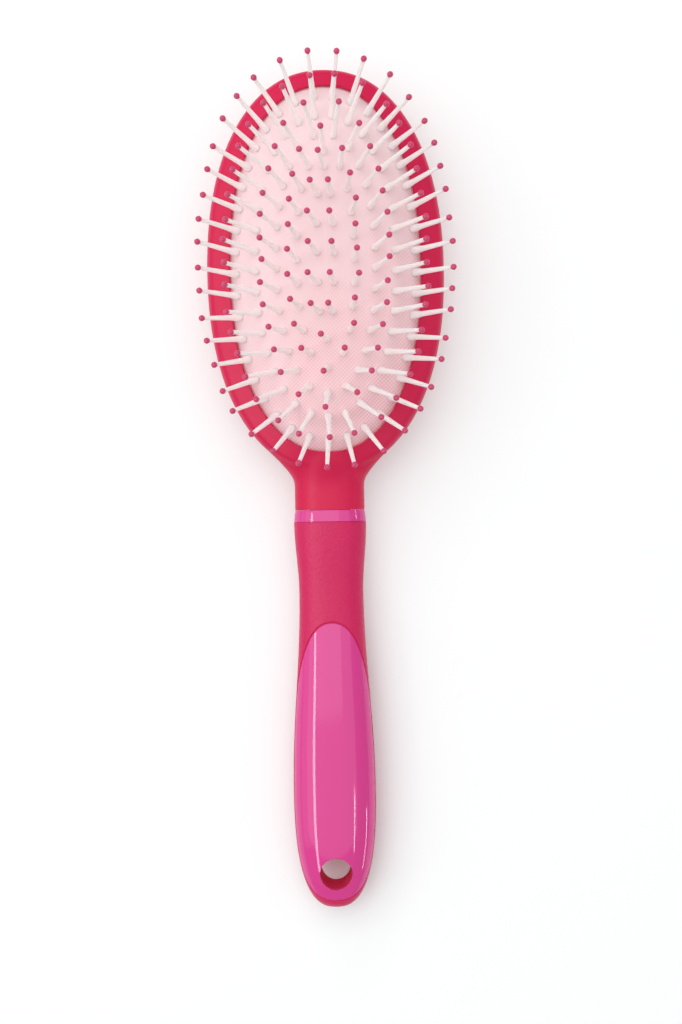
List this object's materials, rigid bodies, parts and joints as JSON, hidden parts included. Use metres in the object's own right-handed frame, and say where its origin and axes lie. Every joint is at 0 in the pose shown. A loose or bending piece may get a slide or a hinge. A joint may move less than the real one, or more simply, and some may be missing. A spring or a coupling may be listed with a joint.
{
  "type": "cushion hair brush",
  "caption": "Oval cushion hair brush with ball-tipped pins on a sprung rubber pad, a collar ring and a two-tone handle with a hang hole.",
  "frame": {"origin": "centre of the flat on the back of the head, which the brush rests on", "axes": "+Z out of the pin field, +Y from the handle to the toe of the head, +X to the right seen from the pins"},
  "size_m": [0.071, 0.2419, 0.0443],
  "materials": {
    "raspberry_plastic": "satin",
    "raspberry_soft_touch": "matte",
    "violet_gloss": "gloss",
    "cushion_rubber": "matte",
    "pin_nylon": "satin"
  },
  "bodies": {
    "brush": {"head_shell": "raspberry_plastic", "cushion_edge": "cushion_rubber", "collar_ring": "violet_gloss", "handle_grip": "raspberry_soft_touch", "handle_inlay": "violet_gloss", "pin_row_1_heel": "pin_nylon", "pin_row_1_right": "pin_nylon", "pin_row_1_toe": "pin_nylon", "pin_row_1_left": "pin_nylon"},
    "second_row": {"pin_row_2_heel": "pin_nylon", "pin_row_2_right": "pin_nylon", "pin_row_2_toe": "pin_nylon", "pin_row_2_left": "pin_nylon"},
    "third_row": {"pin_row_3_heel": "pin_nylon", "pin_row_3_right": "pin_nylon", "pin_row_3_toe": "pin_nylon", "pin_row_3_left": "pin_nylon"},
    "middle_rows": {"pin_row_4_heel": "pin_nylon", "pin_row_4_right": "pin_nylon", "pin_row_4_toe": "pin_nylon", "pin_row_4_left": "pin_nylon", "pin_row_5_heel": "pin_nylon", "pin_row_5_toe": "pin_nylon"}
  },
  "joints": [
    {"name": "cushion_press", "type": "slide", "parent": "brush", "child": "middle_rows", "axis": [0, 0, -1], "range_m": [0, 0.0035], "stiffness_N_per_m": 1200},
    {"name": "third_row_press", "type": "slide", "parent": "brush", "child": "third_row", "axis": [0, 0, -1], "range_m": [0, 0.003]},
    {"name": "second_row_press", "type": "slide", "parent": "brush", "child": "second_row", "axis": [0, 0, -1], "range_m": [0, 0.0015]}
  ],
  "couplings": [
    {"joint": "third_row_press", "follows": "cushion_press", "ratio": 0.84},
    {"joint": "second_row_press", "follows": "cushion_press", "ratio": 0.41}
  ]
}
